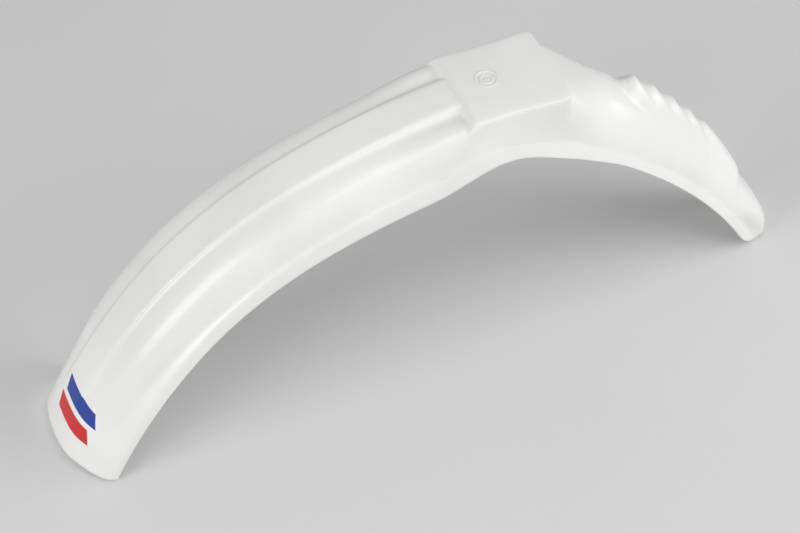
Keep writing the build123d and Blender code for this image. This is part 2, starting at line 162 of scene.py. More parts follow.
# Tail tip, its swell and the rim round it
TAIL_DEPTH = 33.5
TAIL_HALF_WIDTH = 40.5
TAIL_EASE = 0.6
TAIL_BACK = -32.0
TAIL_BULGE = 25.0
TAIL_SPREAD = 0.4
TAIL_TAPER = 0.0016
TAIL_POWER = 3.9
TAIL_SINK = 2.6
TAIL_FLAT_FROM = 318.0
TAIL_FLAT_OVER = 60.0
TAIL_FLAT_REACH = 0.8
TAIL_FLAT_WIDTH = 0.74
TAIL_FLAT_STOP = 82.0
SWELL = 3.4
SWELL_FROM = -50.0
SWELL_TOP = -5.0
SWELL_OVER = 30.0
SWELL_FADE = 1.9
SWELL_UP = 18.0
RIM_BACK = -32.0
RIM_REACH = 12.5
RIM_HALF_WIDTH = 35.5
RIM_POWER = 3.2
RIM_STEP = 0.5
RIM_UP = 8.0
RIM_OVER = 3.0
RIM_FIRST = 340.0
RIM_BAND = 8.0

# How the part stands on nose and tail, against the sections
STAND_TIP = 0.000423
STAND_SHIFT = (73.336, 0.0, -0.150)

FRONT_LENGTH = sum(r * math.radians(t) for r, t in FRONT_ARCS)
REAR_LENGTH = sum(r * math.radians(t) for r, t in REAR_ARCS)

# Fine points across one half of the section, from the middle to the lower edge, and those that the mesh keeps
STRIPS = (("panel", 18, 8), ("panel_side", 6, 3), ("inner", 16, 6), ("corner", 10, 6),
          ("side", 34, 13), ("ledge", 14, 6), ("lip", 16, 5))
COUNTS = {name: count for name, count, _ in STRIPS}
CORNER_COLUMN = COUNTS["panel"] + COUNTS["panel_side"] + COUNTS["inner"]
LEDGE_COLUMN = CORNER_COLUMN + COUNTS["corner"] + COUNTS["side"]

# Fine rows from nose to tail, and how many of them make one row of the mesh
ROWS = (("front", 330, 3), ("foot", 12, 1), ("wall", 16, 1), ("brow", 10, 1), ("pad", 40, 3), ("heel", 10, 1),
        ("step", 8, 1), ("neck", 64, 2), ("louvre", 235, 1.5), ("tail", 30, 2), ("rim", 14, 2))

# Points of a rounded end, and turns in degrees of the rows that round the trimmed edge
END_POINTS = 120
EDGE_TURNS = (45.0, 90.0, 135.0)

# Where the fine rows begin and end
FRONT_UNDER = 16
FRONT_FINE = 30.0
FRONT_PAST = 30.0
FRONT_PITCH = 2.5
REAR_PAST = 36.0
FOOT_AHEAD = 14.0
BROW_END = 30.0
HEEL_AHEAD = 10.0
NECK_END = 100.0
LOUVRE_ROWS_END = 335.0
FACE_SPREAD = 6.0
NOSE_SEARCH = 300.0
TAIL_SEARCH = 80.0

# How far the softening looks across and along, in fine points, and where its amounts change
SOFT_ACROSS = 44
SOFT_ALONG = 30
CALM_ALONG = 14
CALM_SPREAD = 3.0
PAD_WINDOW = 33
PAD_ACROSS = 0.8
PANEL_ACROSS = 0.5
SIDE_BEFORE = 4.0
TRIM_BEFORE = 8.0
STRIP_FADE = 16.0
BESIDE_PAD = 90.0
TRIM_BEHIND = 200.0
TRIM_AHEAD = 90.0
TRIM_FADE = 60.0

# Printed bars on the nose: colour, and centre along the spine and across it, in metres
BARS = (("bar_blue", (0.464, 0.016)), ("bar_red", (0.486, 0.016)))
BAR_SIZE = (0.016, 0.052)
BAR_SLANT = 0.35
BAR_SOFT = 0.0003

# Ring mark: points round it, and shares of its height and of the pip's diameter
RING_POINTS = 96
RING_POINTS_INNER = 64
RING_FILLET = 3
RING_ROUND = 0.55
PIP_POINTS = 40
PIP_TOP = 0.42

# Blurring of the louvre heights, and how nodes are laid out
LOUVRE_BLUR = 3
NODES_IN_ROW = 12
NODE_GAP = 220

# Surfaces; a mottle has a slow scale and a grain scale
MOTTLE_DETAIL = 3.0
MOTTLE_BAND = (0.35, 0.65)
GRAIN_DETAIL = 4.0
GRAIN_STRENGTH = 0.12
GRAIN_DEPTH = 0.0001
PLASTIC_MOTTLE = (9.0, 1500.0)
PLASTIC_ROUGHNESS = (0.27, 0.21)
PLASTIC_IOR = 1.49
PAPER_MOTTLE = (2.0, 700.0)
PAPER_DEEP = 0.985
PAPER_ROUGHNESS = 0.85
PAPER_GLOSS = 0.2

# Lamps: name, place, aim, side and power; then the room and the camera
MIDDLE = (0.0, 0.0, 0.1)
LAMPS = (("front_softbox", (3.255, 0.93, 1.555), MIDDLE, 2.1, 56.0),
         ("rear_softbox", (-3.255, 0.93, 1.555), MIDDLE, 2.1, 35.0),
         ("near_softbox", (-2.25, 2.25, 1.93), MIDDLE, 2.1, 40.0),
         ("top_softbox", (0.1, 0.9, 2.4), (0.0, 0.25, 0.0), 1.5, 13.0))
ROOM_LIGHT = 0.35
FLOOR_REACH = 8.0
SENSOR = 36.0
CLIP = (0.05, 50.0)


# Settings

def length(name, description, default, precision=4, **limits):
    return bpy.props.FloatProperty(name=name, description=description, default=default, unit="LENGTH",
                                   precision=precision, **limits)


def number(name, description, default, **limits):
    return bpy.props.FloatProperty(name=name, description=description, default=default, **limits)


def colour(name, description, default):
    return bpy.props.FloatVectorProperty(name=name, description=description, default=default,
                                         subtype="COLOR", size=3, min=0.0, max=1.0)


def vector(name, description, default, subtype):
    return bpy.props.FloatVectorProperty(name=name, description=description, default=default,
                                         subtype=subtype, size=3)


class MudguardShell(bpy.types.PropertyGroup):
    """Sizes of the moulded shell."""
    wall: length("Wall", "Thickness of the moulding", 0.0026, min=0.0005)
    platform_length: length("Platform length",
                            "Length of the flat pad that bolts under the fork clamp", 0.088)
    platform_front: length("Platform front", "Width of the pad at its front edge", 0.097)
    platform_rear: length("Platform rear", "Width of the pad at its rear edge", 0.097)
    softness: length("Edge softness", "How far the moulded edges are rounded", 0.0014)
    platform_softness: length("Platform softness", "How far the edges of the pad are rounded", 0.0018)
    side_softness: length("Side softness", "How far the upright edges below the pad are rounded", 0.006)
    panel_softness: length("Panel softness",
                           "How far the raised panel's edges are rounded beside the pad", 0.003)
    trim_softness: length("Trim softness",
                          "How far the lower edge is smoothed along the guard near the pad", 0.012)
    edge_round: length("Trim round", "Rounding of the trimmed lower edge", 0.0007, precision=5)


class MudguardLouvres(bpy.types.PropertyGroup):
    """Stepped louvres across the rear crown."""
    count: bpy.props.IntProperty(name="Count", description="How many steps", default=5, min=2, max=12)
    first: length("First", "Run from the platform to the first step", 0.0925)
    pitch: length("Pitch", "Distance between steps", 0.0315)
    front: length("Front", "Length of the short rising face", 0.011)
    rise: length("Rise", "Height of the first peak above the crown", 0.0138)
    rise_last: length("Last rise", "Height of the last peak", 0.0076)
    valley: length("Valley", "Height of the valleys near the platform", 0.0078)
    valley_last: length("Last valley", "Height of the last valley", 0.0022)
    end: length("End", "Run from the platform to the end of the steps", 0.305)
    end_step: length("End step", "Length over which the last step dies out", 0.012)
    half_width: length("Half width", "Half width of the first step", 0.0195)
    half_width_last: length("Last half width", "Half width of the last step", 0.0245)
    bow: number("Bow", "How far the steps sweep back at their ends", 65.0)
    taper: number("Taper", "How full the steps stay towards their ends", 3.4, min=1.0)


class MudguardRing(bpy.types.PropertyGroup):
    """Raised rings on the platform."""
    forward: length("Forward", "Where the rings stand along the guard", -0.05797)
    diameter: length("Diameter", "Outer diameter", 0.021)
    inner: number("Inner", "Size of the inner ring against the outer one", 0.55, min=0.1, max=0.9)
    width: length("Width", "Width of the raised line", 0.0014)
    height: length("Height", "How far it stands up", 0.0006)
    pip: length("Pip", "Diameter of the pip in the middle", 0.003)


class MudguardFinish(bpy.types.PropertyGroup):
    """Colours of the plastic and of the bars printed on the nose."""
    plastic: colour("Plastic", "White of the moulding", (0.86, 0.86, 0.85))
    plastic_deep: colour("Plastic, deeper",
                         "Slightly darker white in the flow of the moulding", (0.81, 0.81, 0.80))
    bar_blue: colour("Blue bar", "Upper printed bar", (0.015, 0.05, 0.33))
    bar_red: colour("Red bar", "Lower printed bar", (0.62, 0.02, 0.02))


class MudguardStage(bpy.types.PropertyGroup):
    """Floor and camera."""
    floor: colour("Floor", "Colour of the paper under the guard", (0.69, 0.69, 0.69))
    camera_place: vector("Camera", "Where the camera stands", (0.51979, 1.1747, 1.59667), "TRANSLATION")
    camera_aim: vector("Camera aim", "Direction in which the camera looks",
                       (-0.25188, -0.5956, -0.76281), "DIRECTION")
    camera_up: vector("Camera up", "Direction that is up in the picture",
                      (-0.28737, -0.7066, 0.64668), "DIRECTION")
    lens: number("Lens", "Focal length on a 36 mm sensor", 92.67)


# Small sums

def ease(t):
    t = np.clip(t, 0.0, 1.0)
    return t * t * (3 - 2 * t)


def mix(a, b, t):
    return a + (b - a) * t


def aim(angle):
    return np.array((math.cos(math.radians(angle)), math.sin(math.radians(angle))))


def line(p, q, count):
    t = np.linspace(0.0, 1.0, count + 1)[1:, None]
    return np.asarray(p) + (np.asarray(q) - np.asarray(p)) * t


def cubic(p0, p1, p2, p3, count=160):
    t = np.linspace(0.0, 1.0, count + 1)[:, None]
    p0, p1, p2, p3 = (np.asarray(p, float) for p in (p0, p1, p2, p3))
    return (1 - t) ** 3 * p0 + 3 * (1 - t) ** 2 * t * p1 + 3 * (1 - t) * t * t * p2 + t ** 3 * p3


def bent(p, q, start, stop, pull_start, pull_stop):
    """Cubic from p to q that leaves at one angle and arrives at another."""
    p, q = np.asarray(p, float), np.asarray(q, float)
    size = np.linalg.norm(q - p)
    return cubic(p, p + aim(start) * size * pull_start, q - aim(stop) * size * pull_stop, q)


def lengths(points):
    """Length of a polyline up to each of its points."""
    step = np.linalg.norm(np.diff(points, axis=0), axis=1)
    return np.concatenate(([0.0], np.cumsum(step)))


def read_at(t, run, points):
    """Points of a polyline where its run has the values t."""
    return np.stack([np.interp(t, run, points[:, k]) for k in range(points.shape[1])], axis=1)


def share_out(points, shares, counts):
    """Points at even steps along a polyline, with a given count between each pair of shares."""
    run = lengths(points)
    run /= run[-1]
    return np.concatenate([read_at(np.linspace(a, b, count + 1)[1:], run, points)
                           for a, b, count in zip(shares[:-1], shares[1:], counts)])


def share_at(points, y):
    """Share of a polyline's length at which it reaches the half width y."""
    run = lengths(points)
    return float(np.interp(y, np.maximum.accumulate(points[:, 0]), run / run[-1]))


def even(path, count):
    """A path made of points, as count even steps."""
    run = lengths(path)
    return read_at(np.linspace(0.0, run[-1], count + 1), run, path)


def cut(skin, steps, a, b):
    """Part of one column of a skin between two runs, ends included."""
    inside = steps[(steps > min(a, b) + TINY) & (steps < max(a, b) - TINY)]
    path = read_at(np.concatenate(([min(a, b)], inside, [max(a, b)])), steps, skin)
    return path if a <= b else path[::-1]


def along(arcs, heading, s):
    """Run, fall and heading after a length s along a chain of arcs."""
    run, fall, left = 0.0, 0.0, s
    a = math.radians(heading)
    for k, (radius, turn) in enumerate(arcs):
        step = left if k == len(arcs) - 1 else min(left, radius * math.radians(turn))
        b = a + step / radius
        run += radius * (math.sin(b) - math.sin(a))
        fall += radius * (math.cos(a) - math.cos(b))
        a = b
        left -= step
        if left <= 0:
            break
    return run, fall, math.degrees(a)


def stand(x, z, tilt, points):
    """Points of a section, as half width and depth, on a cross plane that leans by tilt."""
    a = math.radians(tilt)
    y, d = points[:, 0], points[:, 1]
    return np.stack((x - d * math.sin(a), y, z - d * math.cos(a)), axis=1)


# Sections

def skirt(crease, edge, low):
    """Ledge and lip, from the crease to the lower edge."""
    return np.concatenate((line(crease, edge, COUNTS["ledge"]), line(edge, low, COUNTS["lip"])))


def front_edges(u):
    """Ledge crease, ledge edge and lower edge of the front half, from the panel top."""
    by_waist = 1 - ease(u / WAIST_RUN)
    half = mix(FRONT_HALF_WIDTH, NOSE_HALF_WIDTH, u * u) - WAIST_PINCH * by_waist
    depth = FRONT_DEPTH - DEPTH_FALL * u + (NOSE_DEPTH + DEPTH_FALL - FRONT_DEPTH) * u ** 3
    depth -= WAIST_LIFT * by_waist
    low = np.array((half, depth))
    edge = low - mix(*LIP, u) * aim(LIP_SLOPE)
    ledge = mix(mix(LEDGE_AT_WAIST, LEDGE[0], ease(u / LEDGE_RUN)), LEDGE[1], u ** 3)
    return edge - ledge * aim(mix(*LEDGE_SLOPE, u ** 4)), edge, low


def with_brow(plain, foot, crease, full):
    """Shoulder that stands up to meet the platform's side, by as much as full says."""
    brow = np.array((BROW_HALF_WIDTH, BROW_DEPTH))
    upper = bent(foot, brow, BROW_START, BROW_TURN, BROW_PULL_ENDS, BROW_PULL_MIDDLE)
    lower = bent(brow, crease, BROW_TURN, SHOULDER_STOP[0], BROW_PULL_MIDDLE, BROW_PULL_ENDS)
    split = int(BROW_SPLIT * len(plain))
    parts = []
    for stood, usual in ((upper, plain[:split + 1]), (lower, plain[split:])):
        t = np.linspace(0.0, 1.0, len(stood))
        parts.append(mix(read_at(t, np.linspace(0.0, 1.0, len(usual)), usual), stood, full))
    return np.concatenate((parts[0], parts[1][1:]))


def front_profile(u):
    """Panel, shoulder, ledge and lip from the middle to the lower edge."""
    thin = PANEL_STEP_THIN * (1 - ease((u - PANEL_END) / PANEL_FADE + 1))
    near = min(1.0, max(0.0, 1 - u / PANEL_STEP_RUN))
    step = thin + (PANEL_STEP - PANEL_STEP_THIN) * near ** 2
    rest = PANEL_REST * ease((u - PANEL_REST_FROM) / (1 - PANEL_REST_FROM))
    crown = PANEL_CROWN + rest
    top = np.array((PANEL_HALF_WIDTH, crown))
    foot = np.array((PANEL_HALF_WIDTH + mix(PANEL_SLOPE_THIN, PANEL_SLOPE, near),
                     crown + step + PANEL_FOOT + PANEL_REST_FOOT * rest))
    last = ease((u - NOSE_FROM) / (1 - NOSE_FROM))
    crease, edge, low = front_edges(u)
    plain = bent(foot, crease, mix(*SHOULDER_START, last), mix(*SHOULDER_STOP, last),
                 mix(*SHOULDER_PULL_START, last), mix(*SHOULDER_PULL_STOP, last))
    shoulder = with_brow(plain, foot, crease, 1 - ease(u / BROW_REACH))
    y = np.linspace(0.0, PANEL_HALF_WIDTH, COUNTS["panel"] + 1)
    panel = np.stack((y, crown * (y / PANEL_HALF_WIDTH) ** 2), axis=1)
    far = ease(u / SHOULDER_CORNER_RUN)
    turns = [mix(share_at(shoulder, half), share, far)
             for half, share in zip(SHOULDER_CORNER, SHOULDER_CORNER_SHARES)]
    counts = (COUNTS["inner"], COUNTS["corner"], COUNTS["side"])
    return np.concatenate((panel, line(top, foot, COUNTS["panel_side"]),
                           share_out(shoulder, (0.0, *turns, 1.0), counts), skirt(crease, edge, low)))


def front_rows(steps, half):
    """The front half's skin at each run of steps; a negative run reaches back under the platform."""
    rows = []
    for s in steps:
        run, fall, heading = along(FRONT_ARCS, FRONT_START, max(s, 0.0))
        u = max(s, 0.0) / FRONT_LENGTH
        x = half + PLATFORM_RAMP + run + min(s, 0.0)
        z = PLATFORM_HEIGHT - PANEL_DROP - fall
        rows.append(stand(x, z, heading * ease(u / FRONT_TILT_RUN), front_profile(u)))
    return np.array(rows)


def platform_edges(t):
    """Side crease, bend and lower edge below the platform, from its top."""
    crease, edge, low = front_edges(0.0)
    f, r = max(0.0, 1 - t / WAIST_MIDDLE), max(0.0, (t - WAIST_MIDDLE) / (1 - WAIST_MIDDLE))
    low_half = WAIST_HALF_WIDTH + (low[0] - WAIST_HALF_WIDTH) * f * f
    low_half += (REAR_START_HALF_WIDTH - WAIST_HALF_WIDTH) * r
    low_depth = WAIST_DEPTH + (low[1] + PANEL_DROP - WAIST_DEPTH) * f * f
    low_depth += (REAR_START_DEPTH - WAIST_DEPTH) * r ** WAIST_POWER
    mid = 4 * t * (1 - t)
    back = np.array((FLANGE_OUT + FLANGE_OUT_MORE, FLANGE_DOWN_START))
    away = mix(low - crease, back, t) - mid * np.array((WAIST_FLANGE_IN, WAIST_FLANGE_UP))
    side = np.array((low_half, low_depth)) - away
    return side, side + mix(edge - crease, FLANGE_BEND[0] * back, t), np.array((low_half, low_depth))


def platform_profile(t, front, rear, trim):
    """Pad, rounded corner, side and flange, t from the front wall to the rear wall."""
    half = mix(front, rear, t) / 2 - PLATFORM_WAIST * 4 * t * (1 - t) - trim
    foot = PANEL_HALF_WIDTH + mix(PANEL_SLOPE, PANEL_SLOPE_REAR, t)
    y = np.concatenate((np.linspace(0.0, PANEL_HALF_WIDTH, COUNTS["panel"] + 1),
                        np.linspace(PANEL_HALF_WIDTH, foot, COUNTS["panel_side"] + 1)[1:],
                        np.linspace(foot, half - PLATFORM_CORNER, COUNTS["inner"] + 1)[1:]))
    pad = np.stack((y, PLATFORM_CROWN * (y / half) ** 2), axis=1)
    turn = np.array((half, PLATFORM_CROWN + PLATFORM_CORNER))
    side, bend, low = platform_edges(t)
    upright = mix(*PLATFORM_SIDE, t)
    corner = bent(pad[-1], turn, PLATFORM_CORNER_START, upright, PLATFORM_CORNER_PULL, PLATFORM_CORNER_PULL)
    wall = bent(turn, side, upright, mix(SHOULDER_STOP[0], PLATFORM_SIDE_FOOT, t),
                PLATFORM_SIDE_PULL, PLATFORM_SIDE_PULL)
    return np.concatenate((pad, share_out(corner, (0.0, 1.0), (COUNTS["corner"],)),
                           share_out(wall, (0.0, 1.0), (COUNTS["side"],)), skirt(side, bend, low)))


def platform_rows(places, half, front, rear):
    """The platform's skin at each place, narrower where its rear corners are rounded in plan."""
    rows = []
    for x in places:
        t = (half + PLATFORM_RAMP - x) / (2 * half + PLATFORM_RAMP)
        short = PLATFORM_PLAN_CORNER - min(x + half + PLATFORM_OVERHANG, PLATFORM_PLAN_CORNER)
        trim = PLATFORM_PLAN_CORNER - math.sqrt(max(PLATFORM_PLAN_CORNER ** 2 - short ** 2, 0.0))
        rows.append(stand(x, PLATFORM_HEIGHT, 0.0, platform_profile(t, front, rear, trim)))
    return np.array(rows)


def rear_edges(w):
    """Flange crease and lower edge of the rear half, from the crown."""
    v, c = max(0.0, (w - REAR_BLEND) / (1 - REAR_BLEND)), max(0.0, (REAR_BLEND - w) / REAR_BLEND)
    half = mix(REAR_START_HALF_WIDTH, TAIL_HALF_WIDTH, v * v * (1 + TAIL_EASE - TAIL_EASE * v))
    depth = REAR_DEPTH + (TAIL_DEPTH - REAR_DEPTH) * (TAIL_EASE * v + (1 - TAIL_EASE) * v ** 3)
    depth += (REAR_START_DEPTH - REAR_DROP - REAR_DEPTH) * c ** REAR_DEPTH_POWER
    low = np.array((half, depth))
    flange = np.array((FLANGE_OUT + FLANGE_OUT_MORE * c, mix(FLANGE_DOWN, FLANGE_DOWN_START, c)))
    return low - flange, low


def rear_profile(s, louvre_half, sink_from, sink_over):
    """Crown and flange at a run s behind the platform."""
    w = s / REAR_LENGTH
    crease, low = rear_edges(w)
    square = 1 - ease(s / REAR_SQUARE)
    flat = ease((s - TAIL_FLAT_FROM) / TAIL_FLAT_OVER)
    sink = TAIL_SINK * ease((s - sink_from) / sink_over)
    reach = mix(mix(*CROWN_REACH, square) * crease[1], TAIL_FLAT_REACH * crease[1], flat)
    width = mix(mix(*CROWN_WIDTH, square), TAIL_FLAT_WIDTH, flat)
    stop = mix(mix(*CROWN_STOP, square), TAIL_FLAT_STOP, flat)
    crown = cubic((0.0, sink), (width * crease[0], sink), crease - aim(stop) * reach, crease)
    inner = mix(PANEL_HALF_WIDTH, louvre_half, ease(s / LOUVRE_SIDE_RUN))
    first, second = share_at(crown, inner), share_at(crown, inner + LOUVRE_SIDE)
    near = share_at(crown, min(CROWN_CORNER, CROWN_CORNER_MOST * crease[0]))
    away = ease(s / CROWN_CORNER_RUN)
    third = mix(near, mix(second, 1.0, CROWN_SHARES[0]), away)
    fourth = mix(near + CROWN_CORNER_TURN, mix(second, 1.0, CROWN_SHARES[1]), away)
    counts = [COUNTS[n] for n in ("panel", "panel_side", "inner", "corner", "side")]
    skin = share_out(crown, (0.0, first, second, third, fourth, 1.0), counts)
    bend = mix(crease, low, mix(*FLANGE_BEND, ease(w / REAR_BLEND)))
    return np.concatenate((crown[:1], skin, skirt(crease, bend, low)))


def round_end(back, reach, half, power):
    """Rounded end as reaches along the guard and the half widths where it has them."""
    a = np.linspace(0.0, math.pi / 2, END_POINTS)
    return back + (reach - back) * np.maximum(np.cos(a), 0.0) ** (2 / power), half * np.sin(a) ** (2 / power)


def tail_outline():
    """How far the rounded tail reaches past the end of the spine, and the half widths where it does."""
    reach, half = round_end(TAIL_BACK, TAIL_BULGE, TAIL_HALF_WIDTH + TAIL_SPREAD, TAIL_POWER)
    return reach, half * (1 - TAIL_TAPER * reach)


def rim_outline():
    """Where the crown steps down to the band that runs round the tail tip."""
    return round_end(RIM_BACK, RIM_REACH, RIM_HALF_WIDTH, RIM_POWER)


def nose_outline(y):
    """How far the nose reaches past the end of the spine at a half width y."""
    w = NOSE_HALF_WIDTH + NOSE_SPARE
    radius = (w * w + NOSE_BULGE ** 2) / (2 * NOSE_BULGE)
    arc = NOSE_BULGE - radius + np.sqrt(radius ** 2 - y * y)
    mid = w - NOSE_CORNER
    back = NOSE_BULGE - radius + math.sqrt((radius - NOSE_CORNER) ** 2 - mid ** 2)
    turn = radius * mid / (radius - NOSE_CORNER)
    round_off = back + np.sqrt(np.maximum(NOSE_CORNER ** 2 - (y - mid) ** 2, 0.0))
    return np.where(y > turn, round_off, arc)


def nose_place(half):
    """Spot on the panel at the nose and the direction that its front edge is measured in."""
    run, fall, heading = along(FRONT_ARCS, FRONT_START, FRONT_LENGTH)
    a = math.radians(heading - NOSE_RAKE)
    spot = np.array((half + PLATFORM_RAMP + run, 0.0, PLATFORM_HEIGHT - PANEL_DROP - fall))
    return spot, np.array((math.cos(a), 0.0, -math.sin(a)))


def tail_place(half):
    """Spot on the crown at the tail and the rearward direction there."""
    run, fall, heading = along(REAR_ARCS, REAR_START, REAR_LENGTH)
    a = math.radians(heading)
    spot = np.array((-half - run, 0.0, PLATFORM_HEIGHT - REAR_DROP - fall))
    return spot, np.array((-math.cos(a), 0.0, -math.sin(a)))


def rear_rows(steps, half, louvre_half, sink_from, sink_over):
    """The rear half's skin at each run of steps, swelling before the band round the tail tip."""
    spot, way = tail_place(half)
    rim_reach, rim_half = rim_outline()
    rows = []
    for s in steps:
        run, fall, heading = along(REAR_ARCS, REAR_START, s)
        w = s / REAR_LENGTH
        profile = rear_profile(s, louvre_half, sink_from, sink_over)
        flow = np.gradient(profile, axis=0)
        inward = np.stack((-flow[:, 1], flow[:, 0]), axis=1) / np.linalg.norm(flow, axis=1)[:, None]
        x, z = -half - run, PLATFORM_HEIGHT - REAR_DROP - fall
        tilt = -heading * ease(w / REAR_BLEND)
        p = (stand(x, z, tilt, profile) - spot) @ way
        past = p - np.interp(profile[:, 0], rim_half, rim_reach)
        high = rear_edges(w)[0][1] - profile[:, 1]
        fade = 1 - SWELL_FADE * np.clip((p - SWELL_TOP) / SWELL_OVER, 0.0, 1.0) ** 2
        swell = SWELL * ease((p - SWELL_FROM) / SWELL_OVER) * fade
        drop = RIM_STEP * ease(high / RIM_UP) * ease(past / RIM_OVER + 0.5)
        profile = profile + inward * (drop - swell * ease(high / SWELL_UP))[:, None]
        rows.append(stand(x, z, tilt, profile))
    return np.array(rows)


# One grid from nose to tail

def half_grid(shell, louvre):
    """Rows from nose to tail, columns from the middle to the lower edge, and each point's run."""
    half = shell.platform_length * MM / 2
    front, rear = shell.platform_front * MM, shell.platform_rear * MM
    heel = -half - PLATFORM_OVERHANG
    past = PLATFORM_OVERHANG / math.cos(math.radians(REAR_START))
    sf = np.concatenate((np.arange(-FRONT_UNDER, FRONT_FINE, 1.0),
                         np.arange(FRONT_FINE, FRONT_LENGTH + FRONT_PAST, FRONT_PITCH)))
    xp = np.arange(heel, half + PLATFORM_RAMP + 0.5, 1.0)
    sr = np.arange(0.0, REAR_LENGTH + REAR_PAST, 1.0)
    front_skin = front_rows(sf, half)
    pad_skin = platform_rows(xp, half, front, rear)
    rear_skin = rear_rows(sr, half, louvre.half_width * MM, louvre.end * MM, louvre.end_step * MM)
    lean = math.tan(math.radians(PLATFORM_FRONT_LEAN))
    nose_spot, nose_way = nose_place(half)
    tail_spot, tail_way = tail_place(half)
    tip_reach, tip_half = tail_outline()
    rim_reach, rim_half = rim_outline()
    by_nose, by_tail = sf > NOSE_SEARCH, sr > REAR_LENGTH - TAIL_SEARCH
    counts = {name: count for name, count, _ in ROWS}
    grid, runs = [], []
    for q in range(front_skin.shape[1]):
        fore, pad, aft = front_skin[:, q], pad_skin[:, q], rear_skin[:, q]
        spread = FACE_SPREAD * ease((q - CORNER_COLUMN) / (LEDGE_COLUMN - CORNER_COLUMN))
        foot_depth = PLATFORM_HEIGHT - front_skin[FRONT_UNDER, q, 2]
        brow_depth = PLATFORM_HEIGHT - pad_skin[-1, q, 2]
        foot = min(foot_depth * lean, PLATFORM_RAMP) - PLATFORM_RAMP
        brow = half + min(brow_depth * lean, PLATFORM_RAMP)
        reach = (fore - nose_spot) @ nose_way - nose_outline(np.abs(fore[:, 1]))
        nose_end = float(np.interp(0.0, reach[by_nose], sf[by_nose]))
        p, y = (aft - tail_spot) @ tail_way, np.abs(aft[:, 1])
        tip, rim = np.interp(y, tip_half, tip_reach), np.interp(y, rim_half, rim_reach)
        tail_end = float(np.interp(0.0, (p - tip)[by_tail], sr[by_tail]))
        rim_at = float(np.interp(0.0, (p - rim)[by_tail], sr[by_tail]))
        rim_at = max(min(rim_at, tail_end - RIM_BAND), RIM_FIRST)
        ahead = FOOT_AHEAD + spread
        parts = {
            "front": cut(fore, sf, nose_end, ahead),
            "foot": cut(fore, sf, ahead, foot + spread),
            "wall": np.concatenate((cut(fore, sf, foot + spread, foot), cut(pad, xp, brow, brow - spread))),
            "brow": cut(pad, xp, brow - spread, BROW_END),
            "pad": cut(pad, xp, BROW_END, HEEL_AHEAD - half),
            "heel": cut(pad, xp, HEEL_AHEAD - half, heel + spread),
            "step": np.concatenate((cut(pad, xp, heel + spread, heel), cut(aft, sr, past, past + spread))),
        }
        middle = sum(counts[name] for name in parts) - counts["front"]
        behind = {"neck": (past + spread, NECK_END), "louvre": (NECK_END, LOUVRE_ROWS_END),
                  "tail": (LOUVRE_ROWS_END, rim_at), "rim": (rim_at, tail_end)}
        run = [np.linspace(nose_end, ahead, counts["front"] + 1), np.linspace(ahead, -1.0, middle + 1)[1:]]
        for name, (start, stop) in behind.items():
            parts[name] = cut(aft, sr, start, stop)
            run.append(-np.linspace(start, stop, counts[name] + 1)[1:])
        column = [even(parts[name], count) for name, count in counts.items()]
        grid.append(np.concatenate(column[:1] + [piece[1:] for piece in column[1:]]))
        runs.append(np.concatenate(run))
    return np.array(grid).transpose(1, 0, 2), np.array(runs).T


def widen(values, axis, count):
    """Carry an array on past both ends by turning it about its end values."""
    first = np.take(values, [0], axis=axis)
    last = np.take(values, [-1], axis=axis)
    size = values.shape[axis]
    head = 2 * first - np.take(values, range(count, 0, -1), axis=axis)
    tail = 2 * last - np.take(values, range(size - 2, size - 2 - count, -1), axis=axis)
    return np.concatenate((head, values, tail), axis=axis)


def soften(values, points, spread, axis, reach):
    """Average values along one way of the grid, weighted by true distance, with a spread for each point."""
    points = widen(points, axis, reach)
    values = widen(values, axis, reach)
    gap = np.linalg.norm(np.diff(points, axis=axis), axis=2)
    zero = np.zeros_like(np.take(gap, [0], axis=axis))
    run = np.concatenate((zero, np.cumsum(gap, axis=axis)), axis=axis)
    weight = (np.concatenate((gap, zero), axis=axis) + np.concatenate((zero, gap), axis=axis)) / 2 + TINY
    size = points.shape[axis] - 2 * reach
    middle = np.take(run, range(reach, reach + size), axis=axis)
    total = np.zeros(np.take(values, range(size), axis=axis).shape)
    scale = np.zeros(middle.shape)
    for k in range(2 * reach + 1):
        part = range(k, k + size)
        w = np.exp(-0.5 * ((np.take(run, part, axis=axis) - middle) / spread) ** 2)
        w = w * np.take(weight, part, axis=axis)
        total += w[..., None] * np.take(values, part, axis=axis)
        scale += w
    return total / scale[..., None]


def mirrored(half, sign):
    """Both sides from the side at positive half width."""
    other = half[:, :0:-1].copy()
    if sign:
        other[..., 1] *= -1
    return np.concatenate((other, half), axis=1)


def unit(vectors):
    """Directions of length one; those without length stay zero."""
    size = np.linalg.norm(vectors, axis=2)[..., None]
    return np.divide(vectors, size, out=np.zeros_like(vectors), where=size > 0)


